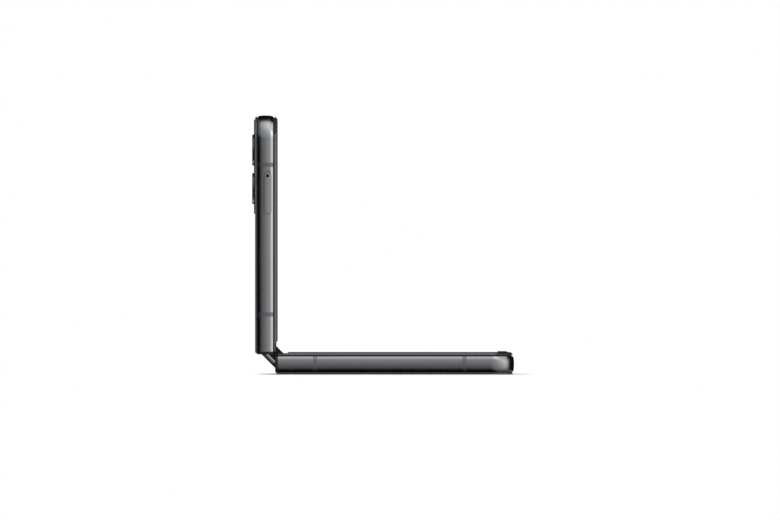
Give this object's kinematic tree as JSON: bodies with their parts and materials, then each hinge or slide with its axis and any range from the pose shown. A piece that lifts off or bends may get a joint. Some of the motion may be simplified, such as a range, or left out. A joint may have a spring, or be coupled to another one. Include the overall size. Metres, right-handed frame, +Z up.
{
  "type": "foldable smartphone",
  "caption": "Clamshell phone with a folding inner display: two flat halves on a twin-axis spine, held half open, with raised rear camera glass and lens rings.",
  "frame": {"origin": "centre of the back face of the lower half, which the phone rests on", "axes": "+Z up, away from the resting face; +X from the hinge to the lower half's free end; +Y across the phone, along the hinge"},
  "size_m": [0.0908, 0.0724, 0.0894],
  "materials": {
    "rail": "satin anodised dark grey",
    "glass_back": "frosted dark grey coated glass",
    "camera_glass": "polished black glass",
    "display": "black folding display",
    "bezel": "soft matte black",
    "rubber": "black rubber",
    "seam": "matte dark plastic",
    "band": "dark grey plastic",
    "steel": "bare steel",
    "cell": "foil wrapped cell",
    "board": "solder mask",
    "copper": "bare copper",
    "gold": "sintered bronze",
    "lens": "coated lens glass",
    "ring": "turned and polished",
    "flash": "frosted lens"
  },
  "bodies": {
    "lower_half": {"lower_frame": "rail", "lower_antenna_bands": "band", "lower_back_cover": "glass_back", "lower_back_seal": "seam", "lower_bezel": "bezel", "lower_bumpers": "rubber", "lower_display": "display", "lower_support_plate": "steel", "lower_battery": "cell", "lower_board": "board", "usb_shell": "steel", "usb_tongue": "seam", "loudspeaker": "cell", "vibration_motor": "steel", "charging_coil": "copper", "lower_screws": "steel", "lower_hinge_plates": "steel", "lower_rotators": "steel"},
    "spine": {"spine_cover": "rail", "hinge_end_caps": "seam", "hinge_brackets": "steel", "cam_followers": "gold", "torque_springs": "steel", "spring_guides": "gold", "spine_screws": "steel", "flex_cable": "copper", "fold_display": "display"},
    "upper_half": {"upper_frame": "rail", "upper_antenna_bands": "band", "upper_back_cover": "glass_back", "upper_back_seal": "seam", "camera_glass": "camera_glass", "lens_rings": "ring", "lens_covers": "lens", "camera_modules": "cell", "flash_lens": "flash", "cover_display": "cell", "upper_bezel": "bezel", "upper_display": "display", "upper_support_plate": "steel", "upper_battery": "cell", "main_board": "board", "board_shields": "steel", "earpiece": "cell", "front_camera": "lens", "key_switches": "steel", "card_reader": "steel", "upper_screws": "steel", "upper_hinge_plates": "steel", "upper_rotators": "steel"},
    "fold_plate": {"fold_plate": "steel"},
    "front_timing_slider": {"front_timing_slider": "gold"},
    "rear_timing_slider": {"rear_timing_slider": "gold"},
    "volume_rocker": {"volume_rocker": "rail"},
    "power_key": {"power_key": "rail"},
    "card_tray": {"card_tray": "rail"}
  },
  "joints": [
    {"name": "hinge_lower", "type": "hinge", "parent": "lower_half", "child": "spine", "pos_m": [-0.0383, 0, 0.0055], "axis": [0, 1, 0], "range_deg": [-45, 45.6], "deforming": ["fold_display", "flex_cable"]},
    {"name": "hinge_upper", "type": "hinge", "parent": "spine", "child": "upper_half", "pos_m": [-0.04268, 0, 0.00988], "axis": [0, 1, 0], "range_deg": [-45, 45.6]},
    {"name": "fold_plate_slide", "type": "slide", "parent": "spine", "child": "fold_plate", "axis": [0.7071, 0, 0.7071], "range_m": [-0.0014, 0.0014]},
    {"name": "front_timing_slide", "type": "slide", "parent": "spine", "child": "front_timing_slider", "axis": [0, 1, 0], "range_m": [-0.0019, 0.0019]},
    {"name": "rear_timing_slide", "type": "slide", "parent": "spine", "child": "rear_timing_slider", "axis": [0, 1, 0], "range_m": [-0.0019, 0.0019]},
    {"name": "volume_rocker_tilt", "type": "hinge", "parent": "upper_half", "child": "volume_rocker", "pos_m": [-0.04461, 0.034, 0.06193], "axis": [1, 0, 0], "range_deg": [-1, 1], "stiffness_Nm_per_rad": 0.4},
    {"name": "power_key_press", "type": "slide", "parent": "upper_half", "child": "power_key", "axis": [0, -1, 0], "range_m": [0, 0.0002], "stiffness_N_per_m": 6000},
    {"name": "card_tray_slide", "type": "slide", "parent": "upper_half", "child": "card_tray", "axis": [0, -1, 0], "range_m": [0, 0.022]}
  ],
  "couplings": [
    {"joint": "hinge_upper", "follows": "hinge_lower", "ratio": 1},
    {"joint": "fold_plate_slide", "follows": "hinge_lower", "m_per_rad": -0.001647},
    {"joint": "front_timing_slide", "follows": "hinge_lower", "m_per_rad": 0.00226},
    {"joint": "rear_timing_slide", "follows": "hinge_lower", "m_per_rad": -0.00226}
  ]
}
